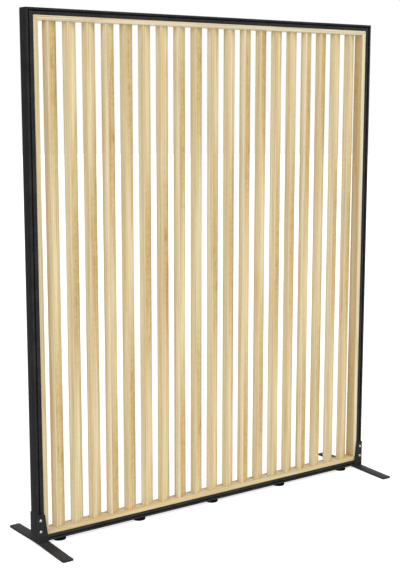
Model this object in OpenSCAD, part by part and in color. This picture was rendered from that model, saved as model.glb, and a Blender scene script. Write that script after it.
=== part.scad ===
// Free-standing slatted room divider. A black hollow profile frame stands on two flat steel feet
// and five levelling glides. It holds a pale timber liner and a row of turned timber slats.
// X runs along the width, the front faces -Y, Z is up. The origin is on the floor, midway.

/* [Panel] */
// Overall width over the two posts
panel_w = 1500; // [1200:10:1800]
// Height of the frame's top edge above the floor
panel_top = 1796; // [1200:4:2400]
// Depth of the frame, front to back
frame_d = 44; // [43:0.5:52]
// Gap from the floor to the frame's underside
floor_gap = 11; // [10.5:0.5:16]

/* [Frame profile] */
// Width of a post's front face
post_face = 27; // [25:0.5:36]
// Height of a rail's front face
rail_face = 23; // [21:0.5:32]
// Wall thickness of the hollow profile
profile_wall = 2; // [1.6:0.1:2.6]
// Rounding of the profile's long outer edges
profile_edge_r = 1.2; // [0.6:0.1:1.6]
// Distance from a post's outer side to the middle of its groove
groove_at = 11; // [9.5:0.5:12]
// Width of the groove's mouth in a post
groove_mouth_w = 7; // [6.4:0.1:8]
// Width of the undercut behind the mouth
undercut_w = 12; // [11:0.5:14]
// Depth of the undercut behind the lips
undercut_d = 5; // [4.5:0.25:6]
// Thickness of the lips beside the mouth
lip_t = 2; // [1.5:0.1:2.5]

/* [Corner keys] */
// Length of each leg of a corner key, from the frame's outer corner
key_leg = 70; // [50:1:80]
// Distance from the end of a key's leg back to its set screw
key_screw_back = 15; // [8:1:22]
// Radius of the set screws
key_screw_r = 3; // [2.5:0.5:4]
// Length of the set screws
key_screw_len = 12; // [8:0.5:14]

/* [Timber liner] */
// Thickness of the side boards
side_board_t = 17; // [15:0.5:24]
// Thickness of the top and bottom boards
end_board_t = 16; // [15:0.5:24]
// Rounding of the boards' long edges
board_edge_r = 1.5; // [0.5:0.1:3]
// Radius of the dowels in the board corners
corner_dowel_r = 3; // [2:0.25:3.25]
// Length of the dowels in the board corners
corner_dowel_len = 13; // [8:0.5:13]
// Distance between the two dowels of one board corner
corner_dowel_spread = 22; // [14:1:30]

/* [Slats] */
// Number of slats
slat_count = 19; // [9:2:21]
// Longer side of a slat's section
slat_w = 46; // [40:0.5:50]
// Shorter side of a slat's section
slat_t = 23; // [18:0.5:26]
// Rounding of a slat's long edges
slat_edge_r = 2; // [0.5:0.1:4]
// Turn of each slat about its own length, in degrees
slat_turn = 26; // [0:1:30]
// Gap between a side board and the first slat
slat_end_gap = 24.9; // [10:0.1:40]
// Radius of the dowels in the slat ends
slat_dowel_r = 4; // [3:0.5:5]
// Distance between the two dowels of one slat end
slat_dowel_spread = 24; // [16:1:28]
// Depth of a dowel in the board
dowel_in_board = 11; // [6:0.5:12]
// Depth of a dowel in the slat
dowel_in_slat = 19; // [12:1:30]

/* [Feet] */
// Length of a foot bar, front to back
bar_len = 400; // [300:10:600]
// Width of a foot bar
bar_w = 40.5; // [38:0.5:50]
// Thickness of a foot bar
bar_t = 6; // [4:0.5:8]
// Distance from the post's outer side in to the bar's outer edge
bar_inset = 1.8; // [0:0.1:4]
// Length of the level part at each end of a foot bar
bar_rest_len = 30; // [15:1:60]
// Rounding of the foot bar's corners
bar_corner_r = 5; // [1:0.5:12]
// Level part of the foot bar beyond each upright plate
bar_seat_margin = 1; // [0.5:0.5:10]

/* [Foot plates] */
// Thickness of an upright plate
plate_t = 6; // [4:0.5:8]
// Height of an upright plate above its foot bar
plate_h = 100; // [70:1:160]
// Width of an upright plate at its top, before rounding
plate_top_w = 27.7; // [24:0.1:34]
// Width of an upright plate at its bottom
plate_base_w = 41; // [36:0.5:46]
// Rounding of the plate's inner top corner
plate_corner_r = 6; // [2:0.5:8]
// Height of the lower bolt above the foot bar
bolt_low = 40; // [20:1:50]
// Distance between the two bolts of one plate
bolt_pitch = 40; // [24:1:46]

/* [Bolts and nuts] */
// Radius of a bolt's shank
bolt_r = 3; // [2.5:0.5:3]
// Length of a bolt's shank
bolt_len = 12; // [11:0.25:12.5]
// Radius of a bolt's domed head
bolt_head_r = 5.25; // [4.5:0.25:6]
// Height of a bolt's domed head
bolt_head_h = 3.3; // [2.5:0.1:4]
// Height of the rim under a bolt head's dome
bolt_rim_h = 0.4; // [0.2:0.1:1]
// Size across the flats of the bolt head's socket
bolt_socket_af = 4; // [3:0.5:4.5]
// Depth of the bolt head's socket
bolt_socket_depth = 2; // [1:0.1:2.4]
// Thickness of a sliding nut in the groove
nut_t = 4; // [3:0.25:4.25]
// Length of a sliding nut along the groove
nut_len = 16; // [12:1:22]

/* [Levelling glides] */
// Number of glides
glide_count = 5; // [3:1:7]
// Distance from the frame's outer side to the first glide
glide_edge = 96; // [84:1:140]
// Radius of a glide's pad
pad_r = 23; // [18:0.5:26]
// Thickness of a glide's pad
pad_h = 7; // [6.4:0.1:7.2]
// Chamfer along the lower edge of a pad
pad_edge = 0.8; // [0.3:0.1:2]
// Chamfer along the upper edge of a pad
pad_slope = 1.5; // [0.5:0.1:3]
// Radius of the stud's foot, held in a pocket inside the pad
flange_r = 6; // [4.5:0.5:10]
// Thickness of the stud's foot
flange_h = 1.8; // [1:0.1:2.5]
// Height of the stud's foot above the floor
flange_z = 2.2; // [1.5:0.1:3]
// Radius of the stud's neck
neck_r = 3; // [2:0.25:3.5]
// Radius of the threaded stud
stud_r = 4; // [3:0.5:4.5]
// Length of thread above the stud's collar
stud_thread_len = 18; // [14:0.5:20]
// Size across the flats of the stud's collar
collar_af = 13; // [11:0.5:16]
// Thickness of the stud's collar
collar_h = 1.8; // [1:0.1:2]
// Length of the threaded insert in the bottom rail
insert_len = 16; // [10:0.5:18]
// Radius of the threaded insert's barrel
insert_r = 5.5; // [5:0.25:6.5]
// Width of the rim and of the bulge beyond the insert's barrel
insert_rim_w = 1.7; // [1:0.1:3]
// Thickness of the insert's rim below the rail
insert_rim_h = 0.8; // [0.4:0.1:1]
// Height of the insert's bulge above the rail's lower wall
insert_bulge_h = 2.5; // [1:0.5:5]

/* [Clearances] */
// Radial gap of a thread or a glued dowel
thread_gap = 0.05; // [0.01:0.01:0.1]
// Gap round a piece that is slid into place
slide_gap = 0.2; // [0.05:0.05:0.4]
// Gap round a bolt in its hole and between turning pieces
free_gap = 0.3; // [0.2:0.05:0.4]
// Space left below the end of a dowel
dowel_end_gap = 0.5; // [0.2:0.1:1]

/* [Hidden] */
$fn = 48;

// How far a cut runs past the face that it opens
cut = 1;

half_w = panel_w / 2;
half_d = frame_d / 2;
frame_h = panel_top - floor_gap;

// A rail's profile is the post's profile with its face scaled, so that both meet on the mitre
rail_scale = rail_face / post_face;
rail_wall = profile_wall * rail_scale;
core_d = frame_d - 2 * (lip_t + undercut_d + profile_wall);

inner_w = panel_w - 2 * (post_face + side_board_t);
slat_len = frame_h - 2 * (rail_face + end_board_t);
slat_z = floor_gap + rail_face + end_board_t;
slat_across = (slat_w - 2 * slat_edge_r) * cos(slat_turn)
    + (slat_t - 2 * slat_edge_r) * sin(slat_turn) + 2 * slat_edge_r;
slat_pitch = (inner_w - 2 * slat_end_gap - slat_across) / (slat_count - 1);

// Tilt of the dowels that cross the liner's mitred corners
mitre_angle = atan2(end_board_t, side_board_t);

// A foot bar is lifted in the middle, where it carries the post, and level at its two ends
bar_rise = floor_gap - bar_t;
bar_seat = half_d + plate_t + bar_seat_margin;

glide_pitch = (panel_w - 2 * glide_edge) / (glide_count - 1);
collar_z = pad_h + free_gap;
thread_z = collar_z + collar_h;
insert_rim_r = insert_r + insert_rim_w;

SIDES = [-1, 1];
CORNERS = [["bottom_left", -1, -1], ["bottom_right", 1, -1], ["top_left", -1, 1], ["top_right", 1, 1]];
SIDE_NAMES = [["left", -1], ["right", 1]];
FACE_NAMES = [["front", -1], ["back", 1]];

function slat_name(i) = str("slat_", i < 10 ? "0" : "", i);
function slat_x(i) = (i - (slat_count + 1) / 2) * slat_pitch;
function glide_x(i) = -half_w + glide_edge + (i - 1) * glide_pitch;
function hex_r(across_flats) = across_flats / sqrt(3);

// Placing

// From a post's outer side at x = 0 and +X inward, to the left or right post
module at_side(side) {
    if (side < 0) translate([-half_w, 0, 0]) children();
    else translate([half_w, 0, 0]) mirror([1, 0, 0]) children();
}

// From the frame's outer edge at z = 0 and +Z inward, to the bottom or top rail
module at_end(end) {
    if (end < 0) translate([0, 0, floor_gap]) children();
    else translate([0, 0, panel_top]) mirror([0, 0, 1]) children();
}

// From the front, to the front or the back
module at_face(face) {
    if (face < 0) children();
    else mirror([0, 1, 0]) children();
}

module rounded_rect(w, d, r) {
    square([w - 2 * r, d], center = true);
    square([w, d - 2 * r], center = true);
    for (x = SIDES, y = SIDES)
        translate([x * (w / 2 - r), y * (d / 2 - r)]) circle(r = r);
}

// An outline drawn in X and Z, given its depth in Y
module upright_prism(depth) {
    rotate([90, 0, 0]) linear_extrude(height = depth, center = true) children();
}

// A cylinder along +X
module x_rod(r, length) {
    rotate([0, 90, 0]) cylinder(r = r, h = length);
}

// Metal frame

// Section of the hollow profile, with its outer face at x = 0 and one groove front and back
module profile_section(face) {
    k = face / post_face;
    groove_x = k * groove_at;
    undercut_y = half_d - lip_t - undercut_d;
    cell_x = k * (groove_at + undercut_w / 2 + profile_wall);
    difference() {
        translate([face / 2, 0]) rounded_rect(face, frame_d, profile_edge_r);
        translate([k * profile_wall, -core_d / 2]) square([face - 2 * k * profile_wall, core_d]);
        for (side = SIDES) mirror([0, side < 0 ? 0 : 1]) {
            translate([groove_x - k * groove_mouth_w / 2, half_d - lip_t - cut])
                square([k * groove_mouth_w, lip_t + 2 * cut]);
            translate([groove_x - k * undercut_w / 2, undercut_y])
                square([k * undercut_w, undercut_d]);
            translate([cell_x, undercut_y])
                square([face - k * profile_wall - cell_x, undercut_d]);
        }
    }
}

module post_bar() {
    difference() {
        intersection() {
            translate([0, 0, floor_gap]) linear_extrude(height = frame_h) profile_section(post_face);
            upright_prism(2 * frame_d) polygon([
                [0, floor_gap],
                [post_face, floor_gap + rail_face],
                [post_face, panel_top - rail_face],
                [0, panel_top]
            ]);
        }
        for (end = SIDES) at_end(end)
            translate([post_face / 2, 0, key_leg - key_screw_back])
                x_rod(key_screw_r + free_gap, post_face);
    }
}

module rail_bar() {
    difference() {
        intersection() {
            rotate([0, -90, 0])
                linear_extrude(height = panel_w, center = true) profile_section(rail_face);
            upright_prism(2 * frame_d) polygon([
                [-half_w, 0],
                [half_w, 0],
                [half_w - post_face, rail_face],
                [-half_w + post_face, rail_face]
            ]);
        }
        for (side = SIDES) at_side(side)
            translate([key_leg - key_screw_back, 0, rail_face / 2])
                cylinder(r = key_screw_r + free_gap, h = rail_face);
    }
}

module left_post() {
    color("#24262a") at_side(-1) post_bar();
}

module right_post() {
    color("#24262a") at_side(1) post_bar();
}

module top_rail() {
    color("#24262a") at_end(1) rail_bar();
}

module bottom_rail() {
    color("#24262a") at_end(-1) difference() {
        rail_bar();
        for (i = [1:glide_count])
            translate([glide_x(i), 0, -cut])
                cylinder(r = insert_r + thread_gap, h = rail_wall + 2 * cut);
    }
}

// An L of two legs that fill the hollow cores of a post and a rail
module corner_key(side, end) {
    key_d = core_d - 2 * slide_gap;
    post_x = profile_wall + slide_gap;
    rail_z = rail_wall + slide_gap;
    color("#a9acb0") at_side(side) at_end(end) difference() {
        union() {
            translate([post_x, -key_d / 2, rail_z])
                cube([post_face - 2 * post_x, key_d, key_leg - rail_z]);
            translate([post_x, -key_d / 2, rail_z])
                cube([key_leg - post_x, key_d, rail_face - 2 * rail_z]);
        }
        translate([0, 0, key_leg - key_screw_back])
            x_rod(key_screw_r + thread_gap, post_face);
        translate([key_leg - key_screw_back, 0, 0])
            cylinder(r = key_screw_r + thread_gap, h = rail_face);
    }
}

// Each set screw presses from the key on the inside of the profile's outer wall
module corner_key_screws() {
    color("#8f9296") for (side = SIDES, end = SIDES) at_side(side) at_end(end) {
        translate([profile_wall, 0, key_leg - key_screw_back]) x_rod(key_screw_r, key_screw_len);
        translate([key_leg - key_screw_back, 0, rail_wall])
            cylinder(r = key_screw_r, h = key_screw_len);
    }
}

// Timber liner

// Two dowels across a mitred board corner, drawn from the frame's inner corner
module mitre_dowels(r, length) {
    for (y = SIDES)
        translate([side_board_t / 2, y * corner_dowel_spread / 2, end_board_t / 2])
            rotate([0, -mitre_angle, 0]) cylinder(r = r, h = length, center = true);
}

module at_liner_corner(side, end) {
    at_side(side) at_end(end) translate([post_face, 0, rail_face]) children();
}

module corner_dowel_bores() {
    for (side = SIDES, end = SIDES) at_liner_corner(side, end)
        mitre_dowels(corner_dowel_r + thread_gap, corner_dowel_len + 2 * dowel_end_gap);
}

module side_board(side) {
    color("#e0cba0") difference() {
        at_side(side) intersection() {
            translate([post_face + side_board_t / 2, 0, floor_gap])
                linear_extrude(height = frame_h)
                    rounded_rect(side_board_t, frame_d, board_edge_r);
            upright_prism(2 * frame_d) polygon([
                [post_face, floor_gap + rail_face],
                [post_face + side_board_t, slat_z],
                [post_face + side_board_t, slat_z + slat_len],
                [post_face, panel_top - rail_face]
            ]);
        }
        corner_dowel_bores();
    }
}

module liner_left() {
    side_board(-1);
}

module liner_right() {
    side_board(1);
}

module end_board(end) {
    color("#dcc596") difference() {
        at_end(end) intersection() {
            translate([0, 0, rail_face + end_board_t / 2]) rotate([0, -90, 0])
                linear_extrude(height = panel_w, center = true)
                    rounded_rect(end_board_t, frame_d, board_edge_r);
            upright_prism(2 * frame_d) polygon([
                [-half_w + post_face, rail_face],
                [half_w - post_face, rail_face],
                [inner_w / 2, rail_face + end_board_t],
                [-inner_w / 2, rail_face + end_board_t]
            ]);
        }
        corner_dowel_bores();
        slat_dowel_bores(end);
    }
}

module liner_top() {
    end_board(1);
}

module liner_bottom() {
    end_board(-1);
}

module liner_corner_dowels() {
    color("#c9a871") for (side = SIDES, end = SIDES) at_liner_corner(side, end)
        mitre_dowels(corner_dowel_r, corner_dowel_len);
}

// Slats

module at_slat(i) {
    translate([slat_x(i), 0, 0]) rotate([0, 0, slat_turn]) children();
}

// The two dowels of one slat end, from the board's face at z = 0
module slat_dowel_pair(r, into_board, into_slat) {
    for (x = SIDES)
        translate([x * slat_dowel_spread / 2, 0, -into_board])
            cylinder(r = r, h = into_board + into_slat);
}

// From the inner face of the bottom or top board, +Z into the slat
module at_slat_end(end) {
    at_end(end) translate([0, 0, rail_face + end_board_t]) children();
}

module slat_dowel_bores(end) {
    for (i = [1:slat_count]) at_slat_end(end) at_slat(i) slat_bore_pair();
}

module slat_bore_pair() {
    slat_dowel_pair(
        slat_dowel_r + thread_gap, dowel_in_board + dowel_end_gap, dowel_in_slat + dowel_end_gap
    );
}

module slat(i) {
    color("#e4d2a9") difference() {
        translate([0, 0, slat_z]) at_slat(i)
            linear_extrude(height = slat_len) rounded_rect(slat_w, slat_t, slat_edge_r);
        for (end = SIDES) at_slat_end(end) at_slat(i) slat_bore_pair();
    }
}

module slat_dowels(end) {
    color("#c9a871") for (i = [1:slat_count])
        at_slat_end(end) at_slat(i) slat_dowel_pair(slat_dowel_r, dowel_in_board, dowel_in_slat);
}

module slat_dowels_top() {
    slat_dowels(1);
}

module slat_dowels_bottom() {
    slat_dowels(-1);
}

// Feet

// A flat bar bent twice on each side of the post, so that it stands on its two ends
module foot_bar(side) {
    half_l = bar_len / 2;
    half_rest = half_l - bar_rest_len;
    underside = [
        [-half_l, 0], [-half_rest, 0], [-bar_seat, bar_rise],
        [bar_seat, bar_rise], [half_rest, 0], [half_l, 0]
    ];
    last = len(underside) - 1;
    topside = [for (i = [last:-1:0]) underside[i] + [0, bar_t]];
    color("#26282a") at_side(side) translate([bar_inset, 0, 0]) intersection() {
        rotate([90, 0, 90]) linear_extrude(height = bar_w) polygon(concat(underside, topside));
        translate([bar_w / 2, 0, -cut]) linear_extrude(height = floor_gap + 2 * cut)
            rounded_rect(bar_w, bar_len, bar_corner_r);
    }
}

// Outline of an upright plate in X and Z, its outer bottom corner at the origin.
// The inner edge leans in, and a round joins it to the level top edge.
module plate_outline() {
    lean = atan2(plate_base_w - plate_top_w, plate_h);
    inward = [-cos(lean), -sin(lean)];
    round_z = plate_h - plate_corner_r;
    round_x = plate_base_w - (round_z * sin(lean) + plate_corner_r) / cos(lean);
    tangent = [round_x, round_z] - plate_corner_r * inward;
    polygon([[0, 0], [plate_base_w, 0], tangent, [round_x, round_z], [round_x, plate_h], [0, plate_h]]);
    translate([round_x, round_z]) circle(r = plate_corner_r);
}

module at_plate_bolts() {
    for (z = [bolt_low, bolt_low + bolt_pitch])
        translate([groove_at, -half_d, floor_gap + z]) children();
}

module foot_plate(side, face) {
    color("#2a2c2e") at_side(side) at_face(face) difference() {
        translate([0, -half_d - plate_t / 2, floor_gap]) upright_prism(plate_t) plate_outline();
        at_plate_bolts() rotate([90, 0, 0])
            translate([0, 0, -cut]) cylinder(r = bolt_r + free_gap, h = plate_t + 2 * cut);
    }
}

// A domed head with a hexagon socket, its seat at z = 0 and its shank below
module dome_bolt() {
    cap_h = bolt_head_h - bolt_rim_h;
    dome_r = (bolt_head_r * bolt_head_r + cap_h * cap_h) / (2 * cap_h);
    difference() {
        union() {
            intersection() {
                translate([0, 0, bolt_head_h - dome_r]) sphere(r = dome_r);
                cylinder(r = bolt_head_r, h = bolt_head_h);
            }
            translate([0, 0, -bolt_len]) cylinder(r = bolt_r, h = bolt_len + bolt_rim_h);
        }
        translate([0, 0, bolt_head_h - bolt_socket_depth])
            cylinder(r = hex_r(bolt_socket_af), h = bolt_socket_depth + cut, $fn = 6);
    }
}

module foot_bolts() {
    color("#c8cacc") for (side = SIDES, face = SIDES) at_side(side) at_face(face)
        at_plate_bolts() translate([0, -plate_t, 0]) rotate([90, 0, 0]) dome_bolt();
}

// Blocks that slide in the undercut and are drawn against the backs of the lips
module groove_nuts() {
    nut_w = undercut_w - 2 * slide_gap;
    color("#9a9da1") for (side = SIDES, face = SIDES) at_side(side) at_face(face)
        at_plate_bolts() translate([0, lip_t, 0]) difference() {
            translate([-nut_w / 2, 0, -nut_len / 2]) cube([nut_w, nut_t, nut_len]);
            translate([0, -cut, 0]) rotate([-90, 0, 0])
                cylinder(r = bolt_r + thread_gap, h = nut_t + 2 * cut);
        }
}

// Levelling glides

// Threaded inserts set in the bottom rail's lower wall, with a rim below and a bulge above it
module glide_inserts() {
    color("#a8a9a2") for (i = [1:glide_count]) translate([glide_x(i), 0, floor_gap]) difference() {
        union() {
            translate([0, 0, -insert_rim_h]) cylinder(r = insert_rim_r, h = insert_rim_h);
            cylinder(r = insert_r, h = insert_len);
            translate([0, 0, rail_wall]) cylinder(r = insert_rim_r, h = insert_bulge_h);
        }
        translate([0, 0, -insert_rim_h - cut])
            cylinder(r = stud_r + thread_gap, h = insert_rim_h + insert_len + 2 * cut);
    }
}

module glide_pad(i) {
    color("#17181a") translate([glide_x(i), 0, 0]) difference() {
        rotate_extrude() polygon([
            [0, 0], [pad_r - pad_edge, 0], [pad_r, pad_edge],
            [pad_r, pad_h - pad_slope], [pad_r - pad_slope, pad_h], [0, pad_h]
        ]);
        translate([0, 0, flange_z - free_gap / 2])
            cylinder(r = flange_r + free_gap, h = flange_h + free_gap);
        translate([0, 0, flange_z]) cylinder(r = neck_r + free_gap, h = pad_h);
    }
}

module glide_stud(i) {
    color("#b4b6b8") translate([glide_x(i), 0, 0]) {
        translate([0, 0, flange_z]) cylinder(r = flange_r, h = flange_h);
        translate([0, 0, flange_z]) cylinder(r = neck_r, h = collar_z - flange_z);
        translate([0, 0, collar_z]) cylinder(r = hex_r(collar_af), h = collar_h, $fn = 6);
        translate([0, 0, thread_z]) cylinder(r = stud_r, h = stud_thread_len);
    }
}

left_post();
right_post();
top_rail();
bottom_rail();
for (corner = CORNERS)
    corner_key(corner[1], corner[2]);
corner_key_screws();
liner_left();
liner_right();
liner_top();
liner_bottom();
liner_corner_dowels();
for (i = [1:slat_count])
    slat(i);
slat_dowels_top();
slat_dowels_bottom();
for (side = SIDE_NAMES)
    foot_bar(side[1]);
for (side = SIDE_NAMES, face = FACE_NAMES)
    foot_plate(side[1], face[1]);
foot_bolts();
groove_nuts();
glide_inserts();
for (i = [1:glide_count])
    glide_pad(i);
for (i = [1:glide_count])
    glide_stud(i);
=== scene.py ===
"""Slatted room divider: a black metal frame on two foot bars, lined with timber and filled with slats.

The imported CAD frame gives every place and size. The pieces that show are modelled again here with soft
edges and fine detail, and every surface gets its own finish. Lengths are in metres, unless a name ends in
mm, and the scale of a pattern counts its features per metre.
"""

import logging
import math
from collections.abc import Callable, Iterable, Sequence
from dataclasses import dataclass
from enum import Enum
from typing import Self

import bmesh
import bpy
from mathutils import Matrix, Vector

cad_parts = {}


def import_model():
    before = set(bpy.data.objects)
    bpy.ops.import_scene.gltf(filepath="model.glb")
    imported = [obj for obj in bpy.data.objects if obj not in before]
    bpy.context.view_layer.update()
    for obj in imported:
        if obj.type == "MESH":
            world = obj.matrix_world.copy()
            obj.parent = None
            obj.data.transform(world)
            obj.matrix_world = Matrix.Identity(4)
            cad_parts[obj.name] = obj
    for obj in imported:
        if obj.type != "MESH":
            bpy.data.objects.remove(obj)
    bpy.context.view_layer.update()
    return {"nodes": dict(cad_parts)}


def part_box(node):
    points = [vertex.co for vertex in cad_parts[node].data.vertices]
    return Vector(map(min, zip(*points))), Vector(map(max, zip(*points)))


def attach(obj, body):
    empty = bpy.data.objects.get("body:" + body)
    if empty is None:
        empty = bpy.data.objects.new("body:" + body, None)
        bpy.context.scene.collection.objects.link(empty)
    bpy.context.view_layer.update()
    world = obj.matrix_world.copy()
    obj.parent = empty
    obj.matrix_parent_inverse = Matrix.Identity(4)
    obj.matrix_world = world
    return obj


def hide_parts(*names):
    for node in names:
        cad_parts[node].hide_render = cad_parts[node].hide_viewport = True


log = logging.getLogger("room_divider")

Point = tuple[float, float, float]
Section = Sequence[tuple[float, float]]
Stops = tuple[tuple[float, str], ...]
Inputs = dict[int | str, object]
Material, Socket, Tree = bpy.types.Material, bpy.types.NodeSocket, bpy.types.NodeTree

MM = 0.001
FRAME_BODY = "frame"
WHITE = (1.0, 1.0, 1.0, 1.0)

# Edges longer than this run along a whole board, slat or profile
LONG_EDGE = 100 * MM
# Vertices closer than this are one, after a turning or a sweep
WELD = 0.005 * MM
# Faces that meet at less than this angle look like one smooth round
SMOOTH_ANGLE = math.radians(32)

# The sides of a mitred frame: the axis across the face, 0 for X or 2 for Z, and the way inwards along it
SIDES = {"left": (0, 1), "right": (0, -1), "bottom": (2, 1), "top": (2, -1)}

# Settings and sockets of a Mix node that mixes two colours, or tints the first with the second
BLEND = {"data_type": "RGBA"}
TINT = {"data_type": "RGBA", "blend_type": "MULTIPLY"}
MIX_A, MIX_B, MIX_OUT = 6, 7, 2


# Finishes


def linear(hex_colour: str) -> tuple[float, float, float, float]:
    """Turns an sRGB hex colour into the linear colour that a shader takes.

    Args:
        hex_colour: Six hex digits, with or without a leading hash.

    Returns:
        Red, green, blue and an alpha of 1.
    """
    digits = hex_colour.lstrip("#")
    parts = [int(digits[i : i + 2], 16) / 255 for i in (0, 2, 4)]
    red, green, blue = (c / 12.92 if c <= 0.04045 else ((c + 0.055) / 1.055) ** 2.4 for c in parts)
    return red, green, blue, 1.0


def add_node(
    tree: Tree,
    kind: str,
    inputs: Inputs | None = None,
    stops: Stops = (),
    out: int | str = 0,
    **settings: object,
) -> Socket:
    """Adds a shader node with its settings and links.

    Args:
        tree: The node tree that the node goes into.
        kind: The node's type name, without ShaderNode before it.
        inputs: A value for an input socket, or the output socket that feeds it.
        stops: Places and hex colours of a colour ramp.
        out: The output socket that is returned.
        settings: Properties of the node.

    Returns:
        The output socket named by out, or the first input's where the node has none.
    """
    node = tree.nodes.new(f"ShaderNode{kind}")
    for name, value in settings.items():
        setattr(node, name, value)
    for key, value in (inputs or {}).items():
        if isinstance(value, Socket):
            tree.links.new(value, node.inputs[key])
        else:
            node.inputs[key].default_value = value
    for i, (place, colour) in enumerate(stops):
        elements = node.color_ramp.elements
        element = elements[i] if i < 2 else elements.new(place)
        element.position, element.color = place, linear(colour)
    return node.outputs[out] if node.outputs else node.inputs[0]


def drawn_out(tree: Tree, place: Socket, scale: Point, detail: float, roughness: float = 0.5) -> Socket:
    """Makes noise with its own scale along each axis, such as fibres or tool lines.

    Args:
        tree: The material's node tree.
        place: The place on the piece, in metres.
        scale: Features per metre along X, Y and Z.
        detail: How many finer layers the noise has.
        roughness: How strongly the finer layers show.

    Returns:
        The noise, from 0 to 1.
    """
    stretched = add_node(tree, "Mapping", {"Vector": place, "Scale": scale})
    look = {"Scale": 1.0, "Detail": detail, "Roughness": roughness}
    return add_node(tree, "TexNoise", {"Vector": stretched, **look})


def patches(
    tree: Tree,
    place: Socket,
    scale: Point,
    span: tuple[float, float],
    detail: float,
    roughness: float = 0.5,
    full: float | Socket = 1.0,
) -> Socket:
    """Makes patches where noise rises past a threshold, such as flecks, specks or rub marks.

    Args:
        tree: The material's node tree.
        place: The place on the piece, in metres.
        scale: Features per metre along X, Y and Z.
        span: Noise at which a patch begins, and at which it is full.
        detail: How many finer layers the noise has.
        roughness: How strongly the finer layers show.
        full: Strength of a full patch.

    Returns:
        The patches' strength, and 0 between them.
    """
    noise = drawn_out(tree, place, scale, detail, roughness)
    rise = {"From Min": span[0], "From Max": span[1], "To Max": full}
    return add_node(tree, "MapRange", {"Value": noise, **rise})


def edge_mask(tree: Tree, radius: float, sharp: float, samples: int) -> Socket:
    """Finds a piece's edges, where the normal of a rounded copy turns away from the real one.

    Args:
        tree: The material's node tree.
        radius: How far the mask reaches from an edge.
        sharp: Cosine between the two normals at which the mask is full.
        samples: Rays that round the copy.

    Returns:
        The mask, 1 on an edge and 0 on a flat face.
    """
    rounded = add_node(tree, "Bevel", {"Radius": radius}, samples=samples)
    real = add_node(tree, "NewGeometry", out="Normal")
    same = add_node(tree, "VectorMath", {0: rounded, 1: real}, out="Value", operation="DOT_PRODUCT")
    return add_node(tree, "MapRange", {"Value": same, "From Min": 0.97, "From Max": sharp})


@dataclass(frozen=True)
class Finish:
    """A finish that shader nodes draw.

    Attributes:
        name: The material's name.
    """

    name: str

    def build(self) -> Material:
        """Makes the material.

        Returns:
            The material, with its nodes.
        """
        material = bpy.data.materials.new(self.name)
        material.use_nodes = True
        tree = material.node_tree
        tree.nodes.clear()
        shader = add_node(tree, "BsdfPrincipled", self.surface(tree))
        add_node(tree, "OutputMaterial", {"Surface": shader})
        return material

    def surface(self, tree: Tree) -> Inputs:
        """Draws the colour, gloss and relief, in a way that each finish has of its own.

        Args:
            tree: The material's node tree.

        Returns:
            The shader's inputs.
        """
        raise NotImplementedError(self.name)


class Grain(Enum):
    """The way in which a board's fibres run, as the turn that brings them upright."""

    UPRIGHT = (0.0, 0.0, 0.0)
    LYING = (0.0, math.pi / 2, 0.0)


# The tones that one ash trunk gives, from sapwood to the streaks near its heartwood, and those of the
# boards
PALE, CREAM, STRAW, SAND = "#DCD4BB", "#DAD1B1", "#D6CAA9", "#D2C4A1"
HONEY, TAN, WARM = "#CDBD99", "#C6B48F", "#C2AB82"
FLAX, RYE, AMBER, GOLD = "#CBC6AE", "#C0B38F", "#CFBB90", "#DDCDA2"


class Figure(Enum):
    """Tone across a timber section, from its front left to its far right, for each way it was cut."""

    EVEN = (
        (0.0, HONEY), (0.2, SAND), (0.36, STRAW), (0.44, SAND), (0.5, TAN),
        (0.6, STRAW), (0.7, CREAM), (0.8, CREAM), (0.9, SAND), (1.0, HONEY),
    )  # fmt: skip
    PALE_BACK = (
        (0.0, STRAW), (0.2, PALE), (0.34, STRAW), (0.44, HONEY), (0.58, HONEY),
        (0.66, STRAW), (0.76, CREAM), (0.84, CREAM), (0.92, SAND), (1.0, HONEY),
    )  # fmt: skip
    PALE_HEART = (
        (0.0, HONEY), (0.16, STRAW), (0.34, HONEY), (0.44, STRAW), (0.51, TAN),
        (0.58, SAND), (0.66, CREAM), (0.76, CREAM), (0.86, STRAW), (1.0, TAN),
    )  # fmt: skip
    PALE_EDGE = (
        (0.0, WARM), (0.2, STRAW), (0.32, PALE), (0.43, PALE), (0.5, SAND),
        (0.58, HONEY), (0.66, STRAW), (0.76, CREAM), (0.88, CREAM), (1.0, SAND),
    )  # fmt: skip
    PALE_FRONT = (
        (0.0, FLAX), (0.28, FLAX), (0.38, AMBER), (0.5, AMBER), (0.62, GOLD),
        (0.72, GOLD), (0.78, STRAW), (0.84, HONEY), (0.9, RYE), (1.0, RYE),
    )  # fmt: skip
    SAPWOOD = ((0.0, FLAX), (0.2, FLAX), (0.4, HONEY), (0.7, TAN), (1.0, STRAW))
    HEARTWOOD = ((0.0, HONEY), (0.15, RYE), (0.3, RYE), (0.5, HONEY), (0.8, WARM), (1.0, HONEY))


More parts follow.
